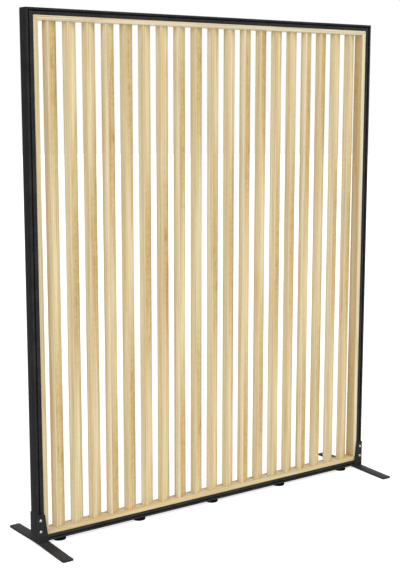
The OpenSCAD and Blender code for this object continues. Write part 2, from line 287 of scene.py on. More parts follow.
@dataclass(frozen=True)
class Timber(Finish):
    """Planed ash with a matt clear lacquer: pale, straight grained, with a soft sheen and open pores.

    Attributes:
        figure: Tone across the section.
        grain: The way in which the fibres run.
        middle: Distance of the section's middle from the origin, along X, or along Z where the fibres lie.
        pitch: Spacing of the slats that share the finish, or 0 for a board.
        turn: Turn of each slat about its own upright axis, in radians.
        across: How far the tone runs along the section's X and against its Y, per metre.
        pith: Place of the trunk's middle from the section's, in mm.
        ring_mm: Spacing of the growth rings.
        roughness: Roughness of the lacquer.
        joint_mm: How far the mitred ends have soaked up lacquer and darkened, or 0 where none is mitred.
        brown_and_shade: Height of the middle of a darker place on the last face, or none where there are no
            such places: browner wood near the heartwood on the slats, and painted shade on the right board.
        brown_and_shade_every: Height after which the next darker place comes.
        next_slat: How much higher up its plank each slat was cut, per metre of distance between slats.
    """

    figure: Figure
    grain: Grain = Grain.UPRIGHT
    middle: float = 0.0
    pitch: float = 0.0
    turn: float = 0.0
    across: tuple[float, float] = (10.0, -12.0)
    pith: tuple[float, float] = (14.0, 62.0)
    ring_mm: float = 2.6
    roughness: float = 0.5
    joint_mm: float = 0.0
    brown_and_shade: float | None = None
    brown_and_shade_every: float = 1.25
    next_slat: float = 31.0

    def surface(self, tree: Tree) -> Inputs:
        """Draws rings, streaks, fibres, flecks and pores that all run along the board.

        Args:
            tree: The material's node tree.

        Returns:
            The shader's inputs.
        """
        place = self._place_in_board(tree)
        # Slow bends of the fibres, about 50 mm wide and 0.9 m long, keep the rings from looking ruled
        bend = drawn_out(tree, place, (20.0, 20.0, 1.1), 2.0)
        section = self._across_section(tree, place, bend)
        # Darker places on the last face: browner wood on the slats, and painted shade high and low on the
        # right board
        brown_and_shade_mask = self._brown_and_shaded_places(tree, section, bend)
        # The colour drifts between a greener and a redder straw, in streaks 9 mm wide and half a metre long
        streak = drawn_out(tree, place, (110.0, 110.0, 2.0), 3.0, 0.6)
        greener_to_redder = ((0.33, "#F3F5EC"), (0.5, "#FFFFFF"), (0.67, "#FAEDDA"))
        drift = add_node(tree, "ValToRGB", {"Fac": streak}, greener_to_redder)
        # Fibres are 1 to 4 mm wide and over 100 mm long
        fibre = drawn_out(tree, place, (300.0, 300.0, 2.2), 4.0, 0.6)
        dark_to_light = ((0.3, "#CBBDA3"), (0.45, "#EEE8DC"), (0.65, "#FFFFFF"))
        shade = add_node(tree, "ValToRGB", {"Fac": fibre}, dark_to_light)
        # Flecks are 6 to 10 mm wide and 30 to 60 mm long
        fleck = patches(tree, place, (110.0, 110.0, 14.0), (0.58, 0.76), 3.0, 0.55, brown_and_shade_mask)
        # The curl is ripples about 10 mm apart up the board, as fibres in a darker place weave in and out
        curl = patches(tree, place, (45.0, 45.0, 100.0), (0.4, 0.65), 2.0, full=brown_and_shade_mask)
        # Pores are 0.3 mm wide and about 6 mm long
        pore = patches(tree, place, (1700.0, 1700.0, 102.0), (0.6, 0.72), 1.0)

        tints = [
            (1.0, drift),
            (self._late_wood(tree, place, bend), linear("#CFBE9F")),
            (0.8, shade),
            (fleck, linear("#CFB78C")),
            (curl, linear("#F5EFE0")),
            (add_node(tree, "Math", {0: pore, 1: 0.35}, operation="MULTIPLY"), linear("#B08A5C")),
        ]
        # Tints the darker places: browner wood on the slats, and painted shade on the right board
        if self.brown_and_shade is not None:
            tints.append((brown_and_shade_mask, linear("#E9DEC8")))
        if self.joint_mm:
            tints.append((edge_mask(tree, self.joint_mm * MM, 0.85, 6), linear("#8C6E4A")))
        colour = add_node(tree, "ValToRGB", {"Fac": section}, self.figure.value)
        for strength, tint in tints:
            colour = add_node(tree, "Mix", {0: strength, MIX_A: colour, MIX_B: tint}, out=MIX_OUT, **TINT)

        gloss = {"To Min": self.roughness - 0.07, "To Max": self.roughness + 0.09}
        relief = add_node(tree, "Math", {0: pore, 1: -0.8, 2: fibre}, operation="MULTIPLY_ADD")
        return {
            "Base Color": colour,
            "Roughness": add_node(tree, "MapRange", {"Value": fibre, **gloss}),
            "Normal": add_node(tree, "Bump", {"Strength": 0.35, "Distance": 0.08 * MM, "Height": relief}),
            "IOR": 1.5,
            "Specular IOR Level": 0.35,
            "Coat Weight": 0.08,
            "Coat Roughness": 0.35,
        }

    def _place_in_board(self, tree: Tree) -> Socket:
        """Gives each board or slat its own straight place, with its middle at 0 and its fibres along Z.

        Args:
            tree: The material's node tree.

        Returns:
            The place in the board, in metres.
        """
        place = add_node(tree, "TexCoord", out="Object")
        if not self.pitch:
            own = {"Vector": place, "Location": (-self.middle, 0.0, 0.0), "Rotation": self.grain.value}
            return add_node(tree, "Mapping", own)
        split = add_node(tree, "SeparateXYZ", {"Vector": place}).node.outputs
        half = self.pitch / 2
        own_x = add_node(tree, "Math", {0: split["X"], 1: half, 2: -half}, operation="WRAP")
        slat_x = add_node(tree, "Math", {0: split["X"], 1: own_x}, operation="SUBTRACT")
        # Each slat takes its wood from another height of the plank, so no two look the same
        cut_at = {0: slat_x, 1: self.next_slat, 2: split["Z"]}
        height = add_node(tree, "Math", cut_at, operation="MULTIPLY_ADD")
        own = add_node(tree, "CombineXYZ", {"X": own_x, "Y": split["Y"], "Z": height})
        return add_node(tree, "VectorRotate", {"Vector": own, "Angle": -self.turn}, rotation_type="Z_AXIS")

    def _across_section(self, tree: Tree, place: Socket, bend: Socket) -> Socket:
        """Measures the way across the section, over one face and then over the next.

        Args:
            tree: The material's node tree.
            place: The place in the board, in metres.
            bend: Noise that bends the fibres.

        Returns:
            The way across, from 0 to 1.
        """
        split = add_node(tree, "SeparateXYZ", {"Vector": place}).node.outputs
        swing = {"From Min": 0.3, "From Max": 0.7, "To Min": 0.45, "To Max": 0.55}
        way = add_node(tree, "MapRange", {"Value": bend, **swing})
        for axis, run in (("X", self.across[0]), ("Y", -self.across[1])):
            way = add_node(tree, "Math", {0: split[axis], 1: run, 2: way}, operation="MULTIPLY_ADD")
        return way

    def _brown_and_shaded_places(self, tree: Tree, section: Socket, bend: Socket) -> Socket:
        """Finds long soft darker places on the last face: browner wood where the saw came near the
        heartwood, and painted shade high and low on the right board.

        Args:
            tree: The material's node tree.
            section: The way across the section, from 0 to 1.
            bend: Noise that bends the places' ends.

        Returns:
            How strongly the place is darker, from 0 to 1, or faintly all over where no darker place is
            given.
        """
        full = 0.5
        if self.brown_and_shade is not None:
            place = add_node(tree, "TexCoord", out="Object")
            height = add_node(tree, "SeparateXYZ", {"Vector": place}, out="Z")
            sway = 0.2
            bent = add_node(tree, "Math", {0: bend, 1: sway, 2: height}, operation="MULTIPLY_ADD")
            per_metre = 2 * math.pi / self.brown_and_shade_every
            phase = -per_metre * (self.brown_and_shade + sway / 2)
            turn = add_node(tree, "Math", {0: bent, 1: per_metre, 2: phase}, operation="MULTIPLY_ADD")
            swell = add_node(tree, "Math", {0: turn}, operation="COSINE")
            full = add_node(tree, "MapRange", {"Value": swell, "From Min": -1.0, "From Max": 0.9})
        last_face = {"Value": section, "From Min": 0.5, "From Max": 0.64, "To Max": full}
        return add_node(tree, "MapRange", last_face)

    def _late_wood(self, tree: Tree, place: Socket, bend: Socket) -> Socket:
        """Finds the rings' late wood: broad tongues on the wide face, and fine lines on the short one.

        Args:
            tree: The material's node tree.
            place: The place in the board, in metres.
            bend: Noise that bends the rings.

        Returns:
            How dark the ring is, from 0 to 1.
        """
        x, y = self.pith
        from_pith = {0: place, 1: (1 / MM, 1 / MM, 0.0), 2: (-x, -y, 0.0)}
        spoke = add_node(tree, "VectorMath", from_pith, operation="MULTIPLY_ADD")
        radius = add_node(tree, "VectorMath", {0: spoke}, out="Value", operation="LENGTH")
        # The slow bends shift a ring by up to 4.5 times its width
        wavy = add_node(tree, "Math", {0: bend, 1: 4.5 * self.ring_mm, 2: radius}, operation="MULTIPLY_ADD")
        count = add_node(tree, "Math", {0: wavy, 1: self.ring_mm}, operation="DIVIDE")
        year = add_node(tree, "Math", {0: count}, operation="FRACT")
        early_to_late = ((0.0, "#101010"), (0.55, "#303030"), (0.85, "#E0E0E0"), (1.0, "#101010"))
        late = add_node(tree, "ValToRGB", {"Fac": year}, early_to_late)
        # A dry summer leaves a thin line and a wet one a strong line
        number = add_node(tree, "Math", {0: count}, operation="FLOOR")
        summer = add_node(tree, "TexWhiteNoise", {"W": number}, noise_dimensions="1D")
        return add_node(tree, "Math", {0: late, 1: summer}, operation="MULTIPLY")


@dataclass(frozen=True)
class PowderCoat(Finish):
    """Black powder coat on metal: matt, with a fine sandy skin, worn edges with a painted highlight, and
    painted light on the faces that look one way.

    Attributes:
        colour: Colour of the coat.
        worn_and_lit: Colour of the coat where it is worn, and of its painted highlights and painted light.
        roughness: Roughness of the coat.
        level: Specular level.
        mottle: How strongly the coat's colour varies from spot to spot, from 0 to 1.
        skin_mm: Size of the skin's grains.
        edge_mm: Width of the lighter band along each edge, where the powder flowed thin and wears, and
            which is also a painted highlight.
        painted_light_way: Direction that the faces look in which are painted lighter, as painted light and
            a painted sheen.
        painted_light_from: How far out along that way, or against it, those faces begin.
        pale: How strongly the lighter colour shows on those faces as painted light, from 0 to 1.
        shine: How much smoother those faces are.
    """

    colour: str = "#141415"
    worn_and_lit: str = "#626365"
    roughness: float = 0.6
    level: float = 0.03
    mottle: float = 0.05
    skin_mm: float = 0.9
    edge_mm: float = 1.3
    painted_light_way: Point = (0.0, 1.0, 0.0)
    painted_light_from: float = 21.8 * MM
    pale: float = 0.09
    shine: float = 0.0

    def surface(self, tree: Tree) -> Inputs:
        """Draws a skin of fine noise, cloudy gloss, spots, worn edges with a painted highlight, and painted
        light on the faces that look one way.

        Args:
            tree: The material's node tree.

        Returns:
            The shader's inputs.
        """
        place = add_node(tree, "TexCoord", out="Object")
        grains = 1 / (self.skin_mm * MM)
        skin = add_node(tree, "TexNoise", {"Vector": place, "Scale": grains, "Detail": 2.0})
        # Clouds about 60 mm wide, as the spray leaves them
        cloud = add_node(tree, "TexNoise", {"Vector": place, "Scale": 16.0, "Detail": 3.0})
        clouds = {"Value": cloud, "From Min": 0.3, "From Max": 0.7}
        # Rub marks about 8 mm long on the edges, lighter both as wear and as a painted highlight
        edge = edge_mask(tree, self.edge_mm * MM, 0.8, 4)
        wear_and_highlight = patches(tree, place, (120.0, 120.0, 120.0), (0.34, 0.6), 4.0, 0.7, edge)
        # Spots about 5 mm wide, where the powder flowed out thicker or thinner
        spots = patches(tree, place, (210.0, 210.0, 210.0), (0.4, 0.68), 2.0, 0.7, self.mottle)

        # Faces that look one way are painted lighter, as painted light and a painted sheen
        painted_light_mask = self._painted_light_faces(tree, place, cloud)
        tint = add_node(tree, "MapRange", {**clouds, "To Max": 0.06})
        mottled = add_node(tree, "Math", {0: tint, 1: spots}, operation="ADD")
        paled = add_node(tree, "Math", {0: painted_light_mask, 1: self.pale, 2: mottled}, operation="MULTIPLY_ADD")
        colour = linear(self.colour)
        # The lighter colour goes on as painted light, and on the edges as wear and a painted highlight
        for strength in (paled, wear_and_highlight):
            mixed = {0: strength, MIX_A: colour, MIX_B: linear(self.worn_and_lit)}
            colour = add_node(tree, "Mix", mixed, out=MIX_OUT, **BLEND)
        dull = {"To Min": self.roughness - 0.05, "To Max": self.roughness + 0.05}
        gloss = add_node(tree, "MapRange", {**clouds, **dull})
        for strength, smoother in ((painted_light_mask, self.shine), (wear_and_highlight, 0.14)):
            gloss = add_node(tree, "Math", {0: strength, 1: -smoother, 2: gloss}, operation="MULTIPLY_ADD")
        return {
            "Base Color": colour,
            "Roughness": gloss,
            "Normal": add_node(tree, "Bump", {"Strength": 0.5, "Distance": 0.08 * MM, "Height": skin}),
            "IOR": 1.5,
            "Specular IOR Level": self.level,
        }

    def _painted_light_faces(self, tree: Tree, place: Socket, cloud: Socket) -> Socket:
        """Finds the faces that are painted lighter, as painted light and a painted sheen, and not the
        grooves behind them.

        Args:
            tree: The material's node tree.
            place: The place on the piece, in metres.
            cloud: Noise that makes the painted light uneven.

        Returns:
            How much painted light the place gets, from 0 to 1.
        """
        normal = add_node(tree, "NewGeometry", out="Normal")
        uneven = {"Value": cloud, "From Min": 0.35, "From Max": 0.65, "To Min": 0.7}
        painted_light_mask = add_node(tree, "MapRange", uneven)
        # First how squarely the face looks that way, then how far out along it the place is
        start = self.painted_light_from
        for vector, low, high in ((normal, 0.8, 0.98), (place, start - 0.5 * MM, start)):
            towards = {0: vector, 1: self.painted_light_way}
            share = add_node(tree, "VectorMath", towards, out="Value", operation="DOT_PRODUCT")
            size = add_node(tree, "Math", {0: share}, operation="ABSOLUTE")
            rise = {"Value": size, "From Min": low, "From Max": high, "To Max": painted_light_mask}
            painted_light_mask = add_node(tree, "MapRange", rise)
        return painted_light_mask


@dataclass(frozen=True)
class BareMetal(Finish):
    """Plated or drawn metal: bright, with fine tool lines round or along it, and dull specks from handling.

    Attributes:
        colour: Colour of the metal.
        dull_colour: Colour of the specks.
        roughness: Roughness of the clean metal.
        lines: Noise scale along X, Y and Z: high across the tool lines and low along them.
    """

    colour: str
    dull_colour: str
    roughness: float
    lines: Point

    def surface(self, tree: Tree) -> Inputs:
        """Draws tool lines in the roughness and relief, and specks in the colour.

        Args:
            tree: The material's node tree.

        Returns:
            The shader's inputs.
        """
        place = add_node(tree, "TexCoord", out="Object")
        line = drawn_out(tree, place, self.lines, 3.0)
        # Specks about 1.5 mm wide
        spotted = patches(tree, place, (650.0, 650.0, 650.0), (0.5, 0.75), 3.0, 0.65, 0.6)
        mixed = {0: spotted, MIX_A: linear(self.colour), MIX_B: linear(self.dull_colour)}
        span = {"To Min": self.roughness - 0.06, "To Max": self.roughness + 0.08}
        lined = add_node(tree, "MapRange", {"Value": line, "From Min": 0.3, "From Max": 0.7, **span})
        return {
            "Base Color": add_node(tree, "Mix", mixed, out=MIX_OUT, **BLEND),
            "Metallic": 1.0,
            "Roughness": add_node(tree, "Math", {0: spotted, 1: 0.2, 2: lined}, operation="MULTIPLY_ADD"),
            "Normal": add_node(tree, "Bump", {"Strength": 0.25, "Distance": 0.02 * MM, "Height": line}),
        }


@dataclass(frozen=True)
class MouldedPlastic(Finish):
    """Black moulded polyamide: satin, with a fine spark-eroded skin, and grey scuffs low on its rim.

    Attributes:
        colour: Colour of the plastic.
        scuffed: Colour of the scuffs.
        roughness: Roughness of the skin.
        scuff_height: Height up to which the floor scuffs the rim.
    """

    colour: str = "#0D0D0E"
    scuffed: str = "#2A2A27"
    roughness: float = 0.6
    scuff_height: float = 3 * MM

    def surface(self, tree: Tree) -> Inputs:
        """Draws a skin of fine noise, and scuffs of low, broken noise.

        Args:
            tree: The material's node tree.

        Returns:
            The shader's inputs.
        """
        place = add_node(tree, "TexCoord", out="Object")
        # Skin grains of 0.4 mm, and scuffs 3 mm wide
        skin = add_node(tree, "TexNoise", {"Vector": place, "Scale": 2500.0, "Detail": 1.0})
        broken = drawn_out(tree, place, (330.0, 330.0, 330.0), 4.0, 0.7)
        height = add_node(tree, "SeparateXYZ", {"Vector": place}, out="Z")
        low = add_node(tree, "MapRange", {"Value": height, "From Min": self.scuff_height, "From Max": 0.0})
        scuffs = {"Value": broken, "From Min": 0.45, "From Max": 0.65, "To Max": low}
        scuff = add_node(tree, "MapRange", scuffs)
        mixed = {0: scuff, MIX_A: linear(self.colour), MIX_B: linear(self.scuffed)}
        span = {"To Min": self.roughness - 0.08, "To Max": self.roughness + 0.12}
        return {
            "Base Color": add_node(tree, "Mix", mixed, out=MIX_OUT, **BLEND),
            "Roughness": add_node(tree, "MapRange", {"Value": broken, **span}),
            "Normal": add_node(tree, "Bump", {"Strength": 0.3, "Distance": 0.03 * MM, "Height": skin}),
            "IOR": 1.53,
            "Specular IOR Level": 0.04,
        }


@dataclass(frozen=True)
class OpalAcrylic(Finish):
    """Seamless sheet of white opal acrylic, softly lit from below.

    Attributes:
        tones: The two colours of its cloudiness.
        glow: Brightness of the light from below.
    """

    tones: tuple[str, str] = ("#B4B4B3", "#B8B8B8")
    glow: float = 0.72

    def surface(self, tree: Tree) -> Inputs:
        """Draws faint cloudiness about 200 mm wide, as a cast sheet has.

        Args:
            tree: The material's node tree.

        Returns:
            The shader's inputs.
        """
        place = add_node(tree, "TexCoord", out="Object")
        cloud = add_node(tree, "TexNoise", {"Vector": place, "Scale": 5.0, "Detail": 3.0})
        mixed = {0: cloud, MIX_A: linear(self.tones[0]), MIX_B: linear(self.tones[1])}
        return {
            "Base Color": add_node(tree, "Mix", mixed, out=MIX_OUT, **BLEND),
            "Roughness": 0.9,
            "Specular IOR Level": 0.2,
            "Emission Color": WHITE,
            "Emission Strength": self.glow,
        }


# Bench work


def near(a: float, b: float, reach: float = MM / 10) -> bool:
    """Says whether two places are closer than a reach."""
    return abs(a - b) < reach


def middle(node: str) -> Vector:
    """Gives the middle of a CAD node's box."""
    return sum(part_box(node), Vector()) / 2


def in_metres(section: Section) -> list[tuple[float, float]]:
    """Turns a section in mm into one in metres."""
    return [(radius * MM, height * MM) for radius, height in section]


def clear_selection() -> None:
    """Leaves edit mode and deselects everything, because an operator acts on all that is selected."""
    if bpy.context.object and bpy.context.object.mode != "OBJECT":
        bpy.ops.object.mode_set(mode="OBJECT")
    bpy.ops.object.select_all(action="DESELECT")


@dataclass
class Workpiece:
    """A solid on the bench, shaped with Blender's own tools.

    Attributes:
        thing: The object that is being shaped.
    """

    thing: bpy.types.Object

    @classmethod
    def from_active(cls) -> Self:
        """Takes up the new object, with its place applied to its mesh."""
        bpy.ops.object.transform_apply(location=True, rotation=True, scale=True)
        return cls(bpy.context.object)

    @classmethod
    def block(cls, low: Sequence[float], high: Sequence[float]) -> Self:
        """Starts from a rectangular block.

        Args:
            low: Its lowest corner.
            high: Its highest corner.

        Returns:
            The workpiece.
        """
        clear_selection()
        a, b = Vector(low), Vector(high)
        bpy.ops.mesh.primitive_cube_add(size=1.0, location=(a + b) / 2, scale=b - a)
        return cls.from_active()

    @classmethod
    def hexagon(cls, flats: float, bottom: float, height: float) -> Self:
        """Starts from an upright hexagonal prism on the Z axis.

        Args:
            flats: Its size across the flats.
            bottom: Where it starts on the axis.
            height: Its own height.

        Returns:
            The workpiece.
        """
        clear_selection()
        place, corner = (0, 0, bottom + height / 2), flats / math.sqrt(3)
        bpy.ops.mesh.primitive_cylinder_add(vertices=6, radius=corner, depth=height, location=place)
        return cls.from_active()

    @classmethod
    def outline(cls, section: Section, foot: float = 0.0) -> Self:
        """Draws a section beside the Z axis as a chain of edges, and stays in edit mode.

        Args:
            section: Radius and height of each corner.
            foot: Where the heights start on the axis.

        Returns:
            The workpiece, with no faces yet.
        """
        clear_selection()
        bpy.ops.mesh.primitive_plane_add(size=MM, location=(0, 0, 0))
        piece = cls.from_active()
        bpy.ops.object.mode_set(mode="EDIT")
        bpy.ops.mesh.select_mode(type="VERT")
        bpy.ops.mesh.select_all(action="SELECT")
        bpy.ops.mesh.merge(type="CENTER")
        places = [Vector((radius, 0, foot + height)) for radius, height in section]
        bpy.ops.transform.translate(value=places[0])
        for last, place in zip(places, places[1:]):
            bpy.ops.mesh.extrude_vertices_move(TRANSFORM_OT_translate={"value": place - last})
        return piece

    @classmethod
    def turned(cls, section: Section, steps: int, foot: float = 0.0) -> Self:
        """Turns a section on the lathe, about the Z axis.

        Args:
            section: Radius and height of each corner, all round the section.
            steps: How many facets the turning leaves.
            foot: Where the heights start on the axis.

        Returns:
            The workpiece.
        """
        piece = cls.outline(section, foot)
        bpy.ops.mesh.select_all(action="SELECT")
        bpy.ops.mesh.spin(steps=steps, angle=2 * math.pi, center=(0, 0, foot), axis=(0, 0, 1))
        piece.close_up()
        return piece

    def close_up(self) -> None:
        """Merges doubles, closes holes, turns the faces outwards and leaves edit mode."""
        bpy.ops.mesh.select_all(action="SELECT")
        bpy.ops.mesh.remove_doubles(threshold=WELD)
        bpy.ops.mesh.fill_holes(sides=0)
        bpy.ops.mesh.normals_make_consistent(inside=False)
        bpy.ops.object.mode_set(mode="OBJECT")

    def hold(self) -> None:
        """Makes this the one selected and active object, in object mode."""
        clear_selection()
        self.thing.select_set(True)
        bpy.context.view_layer.objects.active = self.thing

    def pick(self, kind: str, wanted: Callable[[Vector, Vector], bool]) -> None:
        """Opens edit mode with only the wanted faces or edges selected.

        Args:
            kind: Says FACE or EDGE.
            wanted: Tells from a face's middle and normal, or from an edge's two ends, whether it is wanted.
        """
        self.hold()
        bpy.ops.object.mode_set(mode="EDIT")
        bpy.ops.mesh.select_all(action="DESELECT")
        bpy.ops.mesh.select_mode(type=kind)
        mesh = bmesh.from_edit_mesh(self.thing.data)
        if kind == "FACE":
            found = [(face, face.calc_center_median(), face.normal) for face in mesh.faces]
        else:
            found = [(edge, *(vertex.co for vertex in edge.verts)) for edge in mesh.edges]
        for element, first, second in found:
            if wanted(first, second):
                element.select_set(True)
        bmesh.update_edit_mesh(self.thing.data)

    def push(self, by: Point) -> None:
        """Extrudes the selected faces by a vector."""
        bpy.ops.mesh.extrude_region_move(TRANSFORM_OT_translate={"value": by})

    def ease(self, width: float, segments: int) -> None:
        """Rounds the selected edges."""
        bpy.ops.mesh.bevel(offset=width, segments=segments, affect="EDGES", clamp_overlap=True)

    def cut(self, at: Point, away: Point, keep_all: bool = False) -> None:
        """Saws the whole piece along a plane, and closes the cut.

        Args:
            at: A point of the plane.
            away: The plane's normal, towards the part that is thrown away.
            keep_all: Only draws a line round the piece, and throws nothing away.
        """
        self.hold()
        bpy.ops.object.mode_set(mode="EDIT")
        bpy.ops.mesh.select_all(action="SELECT")
        bpy.ops.mesh.bisect(plane_co=at, plane_no=away, use_fill=not keep_all, clear_outer=not keep_all)

    def soften(self, width: float, segments: int = 2, angle: float = 35.0) -> None:
        """Rounds every sharp edge with a bevel, which is applied.

        Args:
            width: Width of the round.
            segments: Facets of the round.
            angle: Edges sharper than this many degrees are rounded.
        """
        self.hold()
        bevel = self.thing.modifiers.new("soft edges", "BEVEL")
        bevel.width, bevel.segments = width, segments
        bevel.limit_method, bevel.angle_limit = "ANGLE", math.radians(angle)
        bpy.ops.object.modifier_apply(modifier=bevel.name)

    def sink(self, tool: Self) -> None:
        """Cuts another piece's shape out of this one, and scraps that piece.

        Args:
            tool: The piece whose shape is sunk into this one.
        """
        self.hold()
        hole = self.thing.modifiers.new("sunk shape", "BOOLEAN")
        hole.operation, hole.solver, hole.object = "DIFFERENCE", "EXACT", tool.thing
        bpy.ops.object.modifier_apply(modifier=hole.name)
        tool.scrap()

    def copy(self, move: Point, turn: Point = (0, 0, 0)) -> Self:
        """Copies the piece with its own mesh, and sets the copy down elsewhere.

        Args:
            move: Where the piece's origin goes.
            turn: The copy's turn about X, Y and Z, in radians.

        Returns:
            The copy, with its place in its mesh.
        """
        self.hold()
        bpy.ops.object.duplicate(linked=False)
        thing = bpy.context.object
        thing.location, thing.rotation_euler = move, turn
        return self.from_active()

    def join(self, others: Iterable[Self]) -> None:
        """Makes other pieces part of this one.

        Args:
            others: The pieces that are joined on.
        """
        self.hold()
        for other in others:
            other.thing.select_set(True)
        bpy.ops.object.join()

    def scrap(self) -> None:
        """Throws the piece away."""
        bpy.data.objects.remove(self.thing, do_unlink=True)

    def dress(self, node: str, finish: Material, slot: str, body: str = FRAME_BODY) -> None:
        """Finishes the piece: its name, smooth rounds, its material, and its place in the frame.

        Args:
            node: The CAD node that it replaces.
            finish: Its material.
            slot: The record's slot that the material belongs to; not used.
            body: The body that it rides on.
        """
        self.hold()
        bpy.ops.object.shade_smooth_by_angle(angle=SMOOTH_ANGLE)
        thing = self.thing
        thing.name = thing.data.name = f"{node}_dressed"
        thing.data.materials.clear()
        thing.data.materials.append(finish)
        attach(thing, body)
        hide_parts(node)
        log.info("%s: %d faces, in %s", thing.name, len(thing.data.polygons), finish.name)


def mitre(bar: Workpiece, node: str, side: str, neighbours: tuple[str, str]) -> None:
    """Saws both ends of a frame's side, from the frame's outer corners to its inner ones.

    Args:
        bar: The bar, with square ends.
        node: Its CAD node.
        side: Its side of the frame.
        neighbours: An upright node of the frame and a lying one, which give the faces' widths.
    """
    low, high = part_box(node)
    across, inward = SIDES[side]
    along = 2 - across
    upright, lying = (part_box(neighbour) for neighbour in neighbours)
    face = {0: upright[1].x - upright[0].x, 2: lying[1].z - lying[0].z}
    for end in (-1, 1):
        corner, normal = Vector(), Vector()
        corner[across] = (low if inward > 0 else high)[across]
        corner[along] = (high if end > 0 else low)[along]
        normal[across] = inward * face[along]
        normal[along] = end * face[across]
        bar.cut(corner, normal)


# Sub-assemblies


@dataclass
class MetalFrame:
    """Two posts and two rails of grooved black profile, mitred at the corners.

    Attributes:
        groove_share: Place of the groove's middle across the face, from the outer edge.
        mouth_share: Width of the groove's mouth, as a share of the face.
        undercut_share: Width of the groove behind its lips, as a share of the face.
        lip: Thickness of the lips.
        undercut: Depth of the groove behind its lips.
        edge: Radius of the profile's long outer edges.
        arris: Radius of its sharp edges.
    """

    groove_share: float = 11 / 27
    mouth_share: float = 7 / 27
    undercut_share: float = 12 / 27
    lip: float = 2 * MM
    undercut: float = 5 * MM
    edge: float = 1.2 * MM
    arris: float = 0.25 * MM

    def build(self, coat: Material) -> None:
        """Models the four members and dresses them.

        Args:
            coat: The black coat.
        """
        for side, (across, _) in SIDES.items():
            node = f"{side}_rail" if across else f"{side}_post"
            member = self._grooved(node, side)
            mitre(member, node, side, ("left_post", "top_rail"))
            self._ease_outer_edges(member, node, across)
            member.soften(self.arris)
            member.dress(node, coat, "black_profile")

    def _grooved(self, node: str, side: str) -> Workpiece:
        """Cuts the two T-shaped grooves into a bar.

        Args:
            node: The CAD node, which gives the bar's size.
            side: Its side of the frame.

        Returns:
            The grooved bar, with square ends.
        """
        low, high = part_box(node)
        across, inward = SIDES[side]
        bar = Workpiece.block(low, high)
        width = high[across] - low[across]
        groove = (low if inward > 0 else high)[across] + inward * width * self.groove_share
        mouth, wide = width * self.mouth_share / 2, width * self.undercut_share / 2
        line = Vector()
        line[across] = 1
        for hand in (-1, 1):
            bar.cut(line * (groove + hand * mouth), line, keep_all=True)
        for front, surface in ((-1, low.y), (1, high.y)):

            def is_mouth(place: Vector, normal: Vector) -> bool:
                """Says whether a face is the strip between the two lines on this surface."""
                faces_out = normal.y * front > 0.9 and near(place.y, surface)
                return faces_out and near(place[across], groove, mouth / 2)

            bar.pick("FACE", is_mouth)
            for depth in (self.lip, self.undercut):
                bar.push((0, -front * depth, 0))
            behind_lips = surface - front * (self.lip + self.undercut / 2)
            for hand in (-1, 1):

                def is_wall(place: Vector, normal: Vector) -> bool:
                    """Says whether a face is the wall behind the lips on this hand."""
                    at_wall = near(place.y, behind_lips) and near(place[across], groove + hand * mouth)
                    return abs(normal[across]) > 0.9 and at_wall

                bar.pick("FACE", is_wall)
                bar.push(line * hand * (wide - mouth))
        return bar

    def _ease_outer_edges(self, bar: Workpiece, node: str, across: int) -> None:
        """Rounds the four long outer edges of the profile.

        Args:
            bar: The grooved bar.
            node: Its CAD node.
            across: Axis across its front face.
        """
        low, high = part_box(node)
        along = 2 - across

        def is_outer(a: Vector, b: Vector) -> bool:
            """Says whether an edge is one of the four."""
            at_side = near(a[across], low[across]) or near(a[across], high[across])
            return at_side and near(abs(a.y), high.y) and not near(a[along], b[along], LONG_EDGE)

        bar.pick("EDGE", is_outer)
        bar.ease(self.edge, 3)


@dataclass
class TimberLiner:
    """Four mitred boards that line the metal frame.

    Attributes:
        edge: Radius of the boards' long edges.
        arris: Radius of the edges along the mitres.
        joint_mm: How far the lacquer has darkened the mitres.
        brown_and_shade: Height of the painted shade on the right board's inner face and back, which comes
            again lower down.
        right_shaded_across: How the right board's tone runs, over its front and then over its inner face,
            which it makes browner, partly as the wood's tone and partly as painted shade.
    """

    edge: float = 1.5 * MM
    arris: float = 0.3 * MM
    joint_mm: float = 1.6
    brown_and_shade: float = 1.5
    right_shaded_across: tuple[float, float] = (-18.0, -14.0)

    def finishes(self) -> dict[str, Material]:
        """Makes the finish of each board: the right and the top one come from paler wood.

        Returns:
            The material of each side.
        """
        # The right board's inner face is browner, partly as painted shade, and darker high and low, as
        # painted shade
        right = {"across": self.right_shaded_across, "brown_and_shade": self.brown_and_shade}
        planks = {}
        for side, figure, grain, own in (
            ("left", Figure.HEARTWOOD, Grain.UPRIGHT, {}),
            ("right", Figure.PALE_FRONT, Grain.UPRIGHT, right),
            ("bottom", Figure.HEARTWOOD, Grain.LYING, {}),
            ("top", Figure.SAPWOOD, Grain.LYING, {}),
        ):
            place = middle(f"liner_{side}")[SIDES[side][0]]
            board = Timber(f"ash_board_{side}", figure, grain, place, joint_mm=self.joint_mm, **own)
            planks[side] = board.build()
        return planks

    def build(self) -> None:
        """Models the boards and dresses them."""
        planks = self.finishes()
        for side, (across, _) in SIDES.items():
            node, along = f"liner_{side}", 2 - across
            board = Workpiece.block(*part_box(node))
            mitre(board, node, side, ("liner_left", "liner_bottom"))
            board.pick("EDGE", lambda a, b: not near(a[along], b[along], LONG_EDGE))
            board.ease(self.edge, 4)
            board.soften(self.arris)
            board.dress(node, planks[side], "liner_timber")


